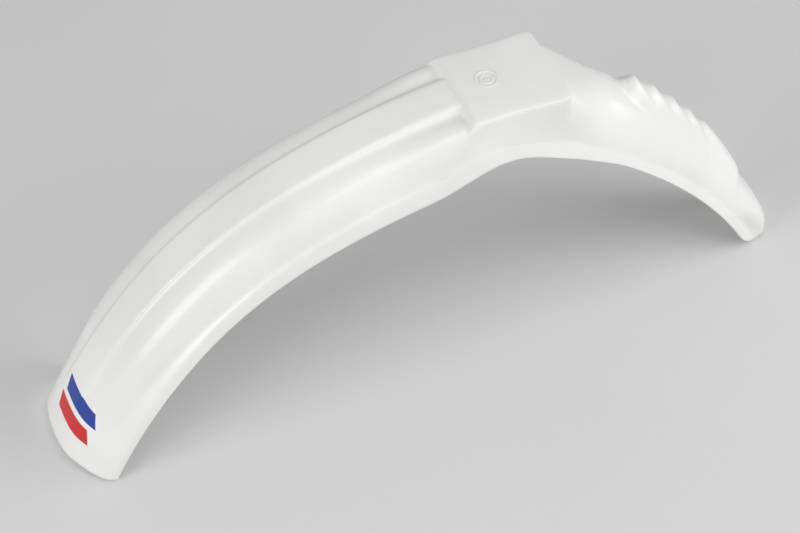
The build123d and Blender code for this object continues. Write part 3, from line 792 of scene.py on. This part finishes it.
def soft_spreads(shell, runs):
    """How far each point is softened across the guard and along it."""
    names = np.concatenate([["panel"]] + [[name] * count for name, count, _ in STRIPS])
    names = np.concatenate((names[:0:-1], names))
    rows = np.concatenate([["front"]] + [[name] * count for name, count, _ in ROWS])
    on_pad = np.isin(rows, ("wall", "brow", "pad", "heel", "step")).astype(float)
    window = np.hanning(PAD_WINDOW)
    on_pad = np.convolve(np.pad(on_pad, PAD_WINDOW // 2, mode="edge"), window / window.sum(), mode="valid")
    on_pad = on_pad[:, None]
    soft, pad_soft = shell.softness * MM, shell.platform_softness * MM
    columns = np.abs(np.arange(len(names)) - len(names) // 2)
    on_side = ease((columns - CORNER_COLUMN + SIDE_BEFORE) / STRIP_FADE)[None, :]
    below = ease((columns - LEDGE_COLUMN + TRIM_BEFORE) / STRIP_FADE)[None, :]
    by_pad = ease((runs + TRIM_BEHIND) / TRIM_FADE) * ease((TRIM_AHEAD - runs) / TRIM_FADE)
    spread = mix(soft, mix(pad_soft, shell.side_softness * MM, on_side), on_pad)
    spread = mix(spread, shell.trim_softness * MM, below * by_pad)
    fine = np.isin(names, ("panel", "panel_side"))[None, :] * (1 - on_pad)
    beside = ease(1 - np.abs(runs) / BESIDE_PAD) * (runs > 0)
    across = mix(soft, PAD_ACROSS * pad_soft, on_pad) * mix(1.0, PANEL_ACROSS, fine)
    across = mix(across, shell.panel_softness * MM, beside * (1 - on_pad))
    return across, spread


def shell_grid(shell, louvre):
    """Softened skin, its outward directions, and each point's run and lift direction."""
    half, runs = half_grid(shell, louvre)
    skin = mirrored(half, True)
    runs = mirrored(runs[..., None], False)[..., 0]
    across, spread = soft_spreads(shell, runs)
    skin = soften(skin, skin, across, 1, SOFT_ACROSS)
    skin = soften(skin, skin, spread, 0, SOFT_ALONG)
    out = unit(np.cross(np.gradient(skin, axis=0), np.gradient(skin, axis=1)))
    if out[out.shape[0] // 2, out.shape[1] // 2, 2] < 0:
        out = -out
    wide = np.full(skin.shape[:2], CALM_SPREAD)
    calm = unit(soften(soften(out, skin, wide, 1, SOFT_ACROSS), skin, wide, 0, CALM_ALONG))
    behind = np.maximum(-runs[:, runs.shape[1] // 2], 0.0)
    heading = np.array([along(REAR_ARCS, REAR_START, s)[2] for s in behind])
    turn = np.radians(heading * ease(behind / REAR_LENGTH / REAR_BLEND))
    lift = np.zeros_like(skin)
    lift[..., 0] = -np.sin(turn)[:, None]
    lift[..., 2] = np.cos(turn)[:, None]
    return skin, calm, runs, lift


def kept(strips):
    """Which of the fine points the mesh keeps, from strips of a count and the number kept."""
    picked, at = [0], 0
    for count, number in strips:
        picked += [at + int(round(count * (k + 1) / number)) for k in range(number)]
        at += count
    return np.array(picked), at


def shell_mesh(shell, louvre):
    """Points in metres, faces, and run, half width, lift direction and side of the wall for each point."""
    skin, out, runs, lift = shell_grid(shell, louvre)
    rows, _ = kept([(count, max(1, int(round(count / step)))) for _, count, step in ROWS])
    columns, at = kept([(count, number) for _, count, number in STRIPS])
    take = np.ix_(rows, np.concatenate((at - columns[:0:-1], at + columns)))
    skin, out, runs, lift = skin[take], out[take], runs[take], lift[take]
    n, m = skin.shape[:2]
    trim = shell.edge_round * MM
    wall = shell.wall * MM
    loop = [(0, c) for c in range(m)] + [(r, m - 1) for r in range(1, n)]
    loop += [(n - 1, c) for c in range(m - 2, -1, -1)] + [(r, 0) for r in range(n - 2, 0, -1)]
    ahead = np.zeros_like(skin)
    ahead[0] += skin[0] - skin[1]
    ahead[-1] += skin[-1] - skin[-2]
    sides = np.zeros_like(skin)
    sides[:, 0] += skin[:, 0] - skin[:, 1]
    sides[:, -1] += skin[:, -1] - skin[:, -2]
    past = unit(unit(ahead) + unit(sides))
    skin = skin - past * trim
    inner = skin - out * wall
    index = np.arange(n * m).reshape(n, m)
    verts = [skin.reshape(-1, 3), inner.reshape(-1, 3)]
    a, b = index[:-1, :-1].ravel(), index[:-1, 1:].ravel()
    c, d = index[1:, 1:].ravel(), index[1:, :-1].ravel()
    quads = [np.stack((a, b, c, d), axis=1), np.stack((d, c, b, a), axis=1) + n * m]
    edge = np.array([index[r, k] for r, k in loop])
    top, low, way = skin.reshape(-1, 3)[edge], inner.reshape(-1, 3)[edge], past.reshape(-1, 3)[edge]
    rings = [edge]
    base = 2 * n * m
    middle, arm = (top + low) / 2, (top - low) / 2
    for angle in EDGE_TURNS:
        t = math.radians(angle)
        verts.append(middle + arm * math.cos(t) + way * trim * math.sin(t))
        rings.append(np.arange(len(edge)) + base)
        base += len(edge)
    rings.append(edge + n * m)
    for up, down in zip(rings[:-1], rings[1:]):
        quads.append(np.stack((up, down, np.roll(down, -1), np.roll(up, -1)), axis=1))
    points = np.concatenate(verts)
    picks = np.concatenate((np.tile(np.arange(n * m), 2), np.tile(edge, len(EDGE_TURNS))))
    outer = (np.arange(len(points)) < n * m).astype(float)
    values = (runs.ravel()[picks], skin.reshape(-1, 3)[picks, 1], lift.reshape(-1, 3)[picks], outer)
    return points / MM, np.concatenate(quads), values


def settle(points, ways):
    """Move the guard from the sections' own frame to where the part stands on the floor."""
    c, s = math.cos(STAND_TIP), math.sin(STAND_TIP)
    turn = np.array(((c, 0.0, s), (0.0, 1.0, 0.0), (-s, 0.0, c)))
    return (points - np.array(STAND_SHIFT) / MM) @ turn, ways @ turn


# Node helpers

def wire(tree, socket, value):
    """Link a socket, or set its plain value."""
    if isinstance(value, bpy.types.NodeSocket):
        tree.links.new(value, socket)
    else:
        socket.default_value = value


def add_node(tree, kind, inputs=None, **settings):
    """Node in the tree's next free place; its settings come first, then its inputs by name or number."""
    row, column = divmod(len(tree.nodes), NODES_IN_ROW)
    node = tree.nodes.new(kind)
    node.location = (column * NODE_GAP, -row * NODE_GAP)
    for name, value in settings.items():
        setattr(node, name, value)
    for key, value in (inputs or {}).items():
        wire(tree, node.inputs[key], value)
    return node


class Sums:
    """Adds math nodes to a tree."""

    def __init__(self, tree):
        self.tree = tree

    def __call__(self, operation, *values):
        inputs = dict(enumerate(values))
        return add_node(self.tree, "ShaderNodeMath", inputs, operation=operation).outputs[0]

    def spread(self, value, from_low, from_high, to_low, to_high, smooth=False):
        inputs = dict(enumerate((value, from_low, from_high, to_low, to_high)))
        kind = "SMOOTHSTEP" if smooth else "LINEAR"
        node = add_node(self.tree, "ShaderNodeMapRange", inputs,
                        clamp=True, interpolation_type=kind)
        return node.outputs[0]


def new_tree(name, sockets):
    """Geometry node tree with named inputs."""
    tree = bpy.data.node_groups.new(name, "GeometryNodeTree")
    tree.interface.new_socket("Geometry", in_out="OUTPUT", socket_type="NodeSocketGeometry")
    for label, kind in sockets:
        tree.interface.new_socket(label, in_out="INPUT", socket_type=kind)
    return tree


def named_field(tree, name, kind="FLOAT"):
    node = add_node(tree, "GeometryNodeInputNamedAttribute", {"Name": name}, data_type=kind)
    return node.outputs["Attribute"]


def close_tree(tree, geometry, material):
    """Realize instances, set the material and end the tree."""
    real = add_node(tree, "GeometryNodeRealizeInstances", {"Geometry": geometry})
    paint = add_node(tree, "GeometryNodeSetMaterial",
                     {"Geometry": real.outputs["Geometry"], "Material": material})
    add_node(tree, "NodeGroupOutput", {"Geometry": paint.outputs["Geometry"]})
    return tree


def bake(context, obj, tree, group, values):
    """Run a node tree on an object and keep the result as a plain mesh.

    Its inputs take the settings of the group that have the same labels, and the further values.
    """
    given = {group.bl_rna.properties[key].name: getattr(group, key) for key in group.__annotations__}
    given.update(values)
    modifier = obj.modifiers.new(tree.name, "NODES")
    modifier.node_group = tree
    for item in tree.interface.items_tree:
        if item.in_out == "INPUT" and item.socket_type != "NodeSocketGeometry":
            modifier[item.identifier] = given[item.name]
    obj.update_tag()
    context.view_layer.update()
    graph = context.evaluated_depsgraph_get()
    made = bpy.data.meshes.new_from_object(
        obj.evaluated_get(graph), preserve_all_data_layers=True, depsgraph=graph)
    obj.modifiers.clear()
    old = obj.data
    obj.data = made
    bpy.data.meshes.remove(old)
    if not made.polygons:
        raise RuntimeError(tree.name + " made no faces")


def smooth(mesh):
    mesh.polygons.foreach_set("use_smooth", [True] * len(mesh.polygons))


def new_object(context, name, points, faces):
    mesh = bpy.data.meshes.new(name)
    mesh.from_pydata(points, [], faces)
    smooth(mesh)
    mesh.update()
    obj = bpy.data.objects.new(name, mesh)
    context.scene.collection.objects.link(obj)
    return obj


def give(mesh, name, kind, values):
    """Put a value or a vector for each point on a mesh."""
    attribute = mesh.attributes.new(name, kind, "POINT")
    field = "vector" if kind == "FLOAT_VECTOR" else "value"
    attribute.data.foreach_set(field, np.ascontiguousarray(values, np.float32).ravel())


# Louvre steps and ring mark

def louvre_tree():
    """Raises the steps on the crown from each point's run, half width and lift direction."""
    sockets = [("Geometry", "NodeSocketGeometry"), ("Count", "NodeSocketInt")]
    sockets += [(name, "NodeSocketFloat") for name in (
        "First", "Pitch", "Front", "Rise", "Last rise", "Valley", "Last valley", "End", "End step",
        "Half width", "Last half width", "Bow", "Taper")]
    tree = new_tree("Louvre steps", sockets + [("Material", "NodeSocketMaterial")])
    into = add_node(tree, "NodeGroupInput").outputs
    run = named_field(tree, "run")
    half = named_field(tree, "across")
    way = named_field(tree, "lift_way", "FLOAT_VECTOR")
    # Which step a point lies on, and how far along it
    m = Sums(tree)
    behind = m("MULTIPLY", run, -1.0)
    wide = m("ABSOLUTE", half)
    swept = m("MULTIPLY", m("MULTIPLY", wide, wide), into["Bow"])
    off = m("SUBTRACT", m("SUBTRACT", behind, swept), into["First"])
    top_index = m("SUBTRACT", into["Count"], 1.0)
    k = m("MINIMUM", m("MAXIMUM", m("FLOOR", m("DIVIDE", off, into["Pitch"])), 0.0), top_index)
    local = m("SUBTRACT", off, m("MULTIPLY", k, into["Pitch"]))
    share = m("DIVIDE", k, top_index)
    next_share = m("MINIMUM", m("DIVIDE", m("ADD", k, 1.0), top_index), 1.0)
    # Heights at the ends of that step's two faces
    peak = m.spread(share, 0.0, 1.0, into["Rise"], into["Last rise"])
    valley = m.spread(share, 0.0, 1.0, into["Valley"], into["Last valley"])
    valley = m("MULTIPLY", valley, m("GREATER_THAN", k, 0.5))
    next_valley = m.spread(next_share, 0.0, 1.0, into["Valley"], into["Last valley"])
    is_last = m("GREATER_THAN", k, m("SUBTRACT", top_index, 0.5))
    to_end = m("SUBTRACT", m("SUBTRACT", into["End"], into["First"]), m("MULTIPLY", top_index, into["Pitch"]))
    foot = m.spread(is_last, 0.0, 1.0, into["Pitch"], to_end)
    up = m.spread(local, 0.0, into["Front"], valley, peak)
    down = m.spread(local, into["Front"], foot, peak, next_valley)
    rising = m("LESS_THAN", local, into["Front"])
    # Height of the point, fading past the last step and towards the sides
    both = m("ADD", m("MULTIPLY", up, rising), m("MULTIPLY", down, m("SUBTRACT", 1.0, rising)))
    fade = m.spread(behind, into["End"], m("ADD", into["End"], into["End step"]), 1.0, 0.0)
    begun = m("GREATER_THAN", off, 0.0)
    limit = m.spread(behind, into["First"], into["End"], into["Half width"], into["Last half width"])
    part = m("MINIMUM", m("DIVIDE", wide, limit), 1.0)
    crown = m("SUBTRACT", 1.0, m("POWER", part, into["Taper"]))
    height = m("MULTIPLY", m("MULTIPLY", m("MULTIPLY", both, fade), begun), crown)
    blur = add_node(tree, "GeometryNodeBlurAttribute",
                    {"Value": height, "Iterations": LOUVRE_BLUR}, data_type="FLOAT")
    lift = add_node(tree, "ShaderNodeVectorMath", {0: way, "Scale": blur.outputs["Value"]},
                    operation="SCALE")
    move = add_node(tree, "GeometryNodeSetPosition",
                    {"Geometry": into["Geometry"], "Offset": lift.outputs[0]})
    return close_tree(tree, move.outputs["Geometry"], into["Material"])


def ring_tree():
    """Raised rings swept round two circles, with a pip in their middle."""
    sockets = [(name, "NodeSocketFloat") for name in ("Diameter", "Inner", "Width", "Height", "Pip")]
    sockets += [("Place", "NodeSocketVector"), ("Turn", "NodeSocketVector"),
                ("Material", "NodeSocketMaterial")]
    tree = new_tree("Ring mark", sockets)
    into = add_node(tree, "NodeGroupInput").outputs
    m = Sums(tree)
    radius = m("MULTIPLY", m("SUBTRACT", into["Diameter"], into["Width"]), 0.5)
    tall = m("MULTIPLY", into["Height"], 2.0)
    round_off = m("MULTIPLY", into["Height"], RING_ROUND)
    shape = add_node(tree, "GeometryNodeCurvePrimitiveQuadrilateral",
                     {"Width": into["Width"], "Height": tall})
    fillet = add_node(tree, "GeometryNodeFilletCurve",
                      {"Curve": shape.outputs["Curve"], "Count": RING_FILLET, "Radius": round_off},
                      mode="POLY")
    join = add_node(tree, "GeometryNodeJoinGeometry")
    small = m("MULTIPLY", radius, into["Inner"])
    for size, points in ((radius, RING_POINTS), (small, RING_POINTS_INNER)):
        circle = add_node(tree, "GeometryNodeCurvePrimitiveCircle",
                          {"Resolution": points, "Radius": size})
        sweep = add_node(tree, "GeometryNodeCurveToMesh",
                         {"Curve": circle.outputs["Curve"], "Profile Curve": fillet.outputs["Curve"]})
        wire(tree, join.inputs[0], sweep.outputs["Mesh"])
    pip = add_node(tree, "GeometryNodeMeshCone",
                   {"Vertices": PIP_POINTS, "Radius Bottom": m("MULTIPLY", into["Pip"], 0.5),
                    "Radius Top": m("MULTIPLY", into["Pip"], PIP_TOP), "Depth": into["Height"]})
    wire(tree, join.inputs[0], pip.outputs["Mesh"])
    move = add_node(tree, "GeometryNodeTransform",
                    {"Geometry": join.outputs[0], "Translation": into["Place"], "Rotation": into["Turn"]})
    return close_tree(tree, move.outputs["Geometry"], into["Material"])


# Materials

def mottle_group():
    """Slow variation over a surface as a mask, and a fine grain as a height."""
    name = "Soft mottle"
    if name in bpy.data.node_groups:
        return bpy.data.node_groups[name]
    group = bpy.data.node_groups.new(name, "ShaderNodeTree")
    for label in ("Slow scale", "Grain scale"):
        group.interface.new_socket(label, in_out="INPUT", socket_type="NodeSocketFloat")
    for label in ("Mask", "Grain"):
        group.interface.new_socket(label, in_out="OUTPUT", socket_type="NodeSocketFloat")
    into = add_node(group, "NodeGroupInput").outputs
    where = add_node(group, "ShaderNodeTexCoord").outputs["Object"]
    slow = add_node(group, "ShaderNodeTexNoise",
                    {"Vector": where, "Scale": into["Slow scale"], "Detail": MOTTLE_DETAIL})
    fine = add_node(group, "ShaderNodeTexNoise",
                    {"Vector": where, "Scale": into["Grain scale"], "Detail": GRAIN_DETAIL})
    mask = Sums(group).spread(slow.outputs[0], *MOTTLE_BAND, 0.0, 1.0, True)
    add_node(group, "NodeGroupOutput", {"Mask": mask, "Grain": fine.outputs[0]})
    return group


def blank_material(name):
    """Material with nothing but a shader, its tree and that shader."""
    material = bpy.data.materials.new(name)
    material.use_nodes = True
    tree = material.node_tree
    tree.nodes.clear()
    shader = add_node(tree, "ShaderNodeBsdfPrincipled")
    add_node(tree, "ShaderNodeOutputMaterial", {"Surface": shader.outputs[0]})
    return material, tree, shader


def place_mottle(tree, slow, grain):
    node = add_node(tree, "ShaderNodeGroup", {"Slow scale": slow, "Grain scale": grain},
                    node_tree=mottle_group())
    return node.outputs


def blend_colour(tree, factor, a, b):
    """Mix of two colours, in sockets 6 and 7 of the node, each a socket or three plain numbers."""
    a, b = (c if isinstance(c, bpy.types.NodeSocket) else (*c, 1.0) for c in (a, b))
    return add_node(tree, "ShaderNodeMix", {"Factor": factor, 6: a, 7: b}, data_type="RGBA").outputs[2]


def bar_mask(m, run, across, centre):
    """One inside a slanted bar on the nose, measured along the spine and across it."""
    up = m("SUBTRACT", run, centre[0])
    over = m("SUBTRACT", m("SUBTRACT", across, centre[1]), m("MULTIPLY", up, BAR_SLANT))
    masks = [m.spread(m("ABSOLUTE", off), size / 2 - BAR_SOFT, size / 2 + BAR_SOFT, 1.0, 0.0, True)
             for off, size in zip((up, over), BAR_SIZE)]
    return m("MULTIPLY", *masks)


def plastic_material(finish):
    """White plastic with a slow mottle, a fine grain and bars printed on the outer face of the nose."""
    name = "White moulded plastic"
    if name in bpy.data.materials:
        return bpy.data.materials[name]
    material, tree, shader = blank_material(name)
    mottle = place_mottle(tree, *PLASTIC_MOTTLE)
    base = blend_colour(tree, mottle["Mask"], finish.plastic_deep, finish.plastic)
    run, across, outer = (add_node(tree, "ShaderNodeAttribute", attribute_name=key).outputs["Fac"]
                          for key in ("run", "across", "outer"))
    m = Sums(tree)
    for key, centre in BARS:
        printed = m("MULTIPLY", bar_mask(m, run, across, centre), outer)
        base = blend_colour(tree, printed, base, getattr(finish, key))
    wire(tree, shader.inputs["Base Color"], base)
    rough = m.spread(mottle["Mask"], 0.0, 1.0, *PLASTIC_ROUGHNESS)
    wire(tree, shader.inputs["Roughness"], rough)
    bump = add_node(tree, "ShaderNodeBump",
                    {"Strength": GRAIN_STRENGTH, "Distance": GRAIN_DEPTH, "Height": mottle["Grain"]})
    wire(tree, shader.inputs["Normal"], bump.outputs[0])
    shader.inputs["IOR"].default_value = PLASTIC_IOR
    return material


def paper_material(stage):
    """Matt paper with a faint mottle."""
    material, tree, shader = blank_material("Pale paper")
    mottle = place_mottle(tree, *PAPER_MOTTLE)
    deep = [PAPER_DEEP * c for c in stage.floor]
    paper = blend_colour(tree, mottle["Mask"], deep, stage.floor)
    wire(tree, shader.inputs["Base Color"], paper)
    shader.inputs["Roughness"].default_value = PAPER_ROUGHNESS
    shader.inputs["Specular IOR Level"].default_value = PAPER_GLOSS
    return material


# Operators

class MUDGUARD_OT_shell(bpy.types.Operator):
    """Build the moulded shell with its louvre steps"""
    bl_idname = "mudguard.shell"
    bl_label = "Build shell"

    def execute(self, context):
        scene = context.scene
        louvre = scene.mudguard_louvres
        points, quads, (runs, across, ways, outer) = shell_mesh(scene.mudguard_shell, louvre)
        points, ways = settle(points, ways)
        obj = new_object(context, "moulded_shell", points.tolist(), quads.tolist())
        give(obj.data, "run", "FLOAT", runs / MM)
        give(obj.data, "across", "FLOAT", across / MM)
        give(obj.data, "lift_way", "FLOAT_VECTOR", ways)
        give(obj.data, "outer", "FLOAT", outer)
        bake(context, obj, louvre_tree(), louvre, {"Material": plastic_material(scene.mudguard_finish)})
        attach(obj, "root")
        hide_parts(NODE)
        return {"FINISHED"}


class MUDGUARD_OT_ring(bpy.types.Operator):
    """Build the raised rings on the platform"""
    bl_idname = "mudguard.ring"
    bl_label = "Build ring mark"

    def execute(self, context):
        scene = context.scene
        ring = scene.mudguard_ring
        shell = bpy.data.objects.get("moulded_shell")
        if shell is None:
            raise RuntimeError("build the shell first")
        hit, place, normal, _ = shell.ray_cast(Vector((ring.forward, 0.0, 1.0)), Vector((0.0, 0.0, -1.0)))
        if not hit:
            raise RuntimeError("the ring's place is off the platform")
        obj = new_object(context, "ring_mark", [(0.0, 0.0, 0.0)], [])
        turn = Vector((0.0, 0.0, 1.0)).rotation_difference(normal).to_euler()
        values = {"Place": tuple(place), "Turn": tuple(turn),
                  "Material": plastic_material(scene.mudguard_finish)}
        bake(context, obj, ring_tree(), ring, values)
        smooth(obj.data)
        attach(obj, "root")
        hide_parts(NODE)
        return {"FINISHED"}


def soft_lamp(context, name, place, aim_at, side, power):
    """Square lamp that looks at a point."""
    lamp = bpy.data.lights.new(name, "AREA")
    lamp.shape = "RECTANGLE"
    lamp.size, lamp.size_y = side, side
    lamp.energy = power
    obj = bpy.data.objects.new(name, lamp)
    context.scene.collection.objects.link(obj)
    way = Vector(aim_at) - Vector(place)
    obj.location = place
    obj.rotation_euler = way.to_track_quat("-Z", "Y").to_euler()


class MUDGUARD_OT_stage(bpy.types.Operator):
    """Lay the floor and set the lamps and the camera"""
    bl_idname = "mudguard.stage"
    bl_label = "Set the stage"

    def execute(self, context):
        scene = context.scene
        stage = scene.mudguard_stage
        corners = [(x * FLOOR_REACH, y * FLOOR_REACH, 0) for x, y in ((-1, -1), (1, -1), (1, 1), (-1, 1))]
        floor = new_object(context, "floor", corners, [(0, 1, 2, 3)])
        floor.data.materials.append(paper_material(stage))
        for lamp in LAMPS:
            soft_lamp(context, *lamp)
        world = bpy.data.worlds.new("soft_room")
        world.use_nodes = True
        shade = world.node_tree.nodes["Background"]
        shade.inputs["Color"].default_value = (1.0, 1.0, 1.0, 1.0)
        shade.inputs["Strength"].default_value = ROOM_LIGHT
        scene.world = world
        data = bpy.data.cameras.new("photo_camera")
        data.sensor_width = SENSOR
        data.lens = stage.lens
        data.clip_start, data.clip_end = CLIP
        camera = bpy.data.objects.new("photo_camera", data)
        scene.collection.objects.link(camera)
        back = -Vector(stage.camera_aim).normalized()
        up = Vector(stage.camera_up)
        up = (up - back * up.dot(back)).normalized()
        right = up.cross(back)
        turn = Matrix((right, up, back)).transposed().to_4x4()
        camera.matrix_world = Matrix.Translation(Vector(stage.camera_place)) @ turn
        scene.camera = camera
        scene.view_settings.view_transform = "Standard"
        return {"FINISHED"}


class MUDGUARD_PT_panel(bpy.types.Panel):
    bl_idname = "MUDGUARD_PT_panel"
    bl_label = "Front mudguard"
    bl_space_type = "VIEW_3D"
    bl_region_type = "UI"
    bl_category = "Mudguard"

    def draw(self, context):
        layout = self.layout
        for name in GROUPS:
            group = getattr(context.scene, name)
            box = layout.box()
            box.label(text=name.replace("_", " "))
            for key in group.__annotations__:
                box.prop(group, key)
        for operator in OPERATORS:
            layout.operator(operator.bl_idname)


GROUPS = {
    "mudguard_shell": MudguardShell,
    "mudguard_louvres": MudguardLouvres,
    "mudguard_ring": MudguardRing,
    "mudguard_finish": MudguardFinish,
    "mudguard_stage": MudguardStage,
}
OPERATORS = (MUDGUARD_OT_shell, MUDGUARD_OT_ring, MUDGUARD_OT_stage)
CLASSES = (*GROUPS.values(), *OPERATORS, MUDGUARD_PT_panel)


def register():
    for cls in CLASSES:
        bpy.utils.register_class(cls)
    for name, group in GROUPS.items():
        setattr(bpy.types.Scene, name, bpy.props.PointerProperty(type=group))


def unregister():
    for name in GROUPS:
        delattr(bpy.types.Scene, name)
    for cls in reversed(CLASSES):
        bpy.utils.unregister_class(cls)


def main():
    register()
    bpy.ops.mudguard.shell()
    bpy.ops.mudguard.ring()
    bpy.ops.mudguard.stage()


if __name__ == "__main__":
    main()
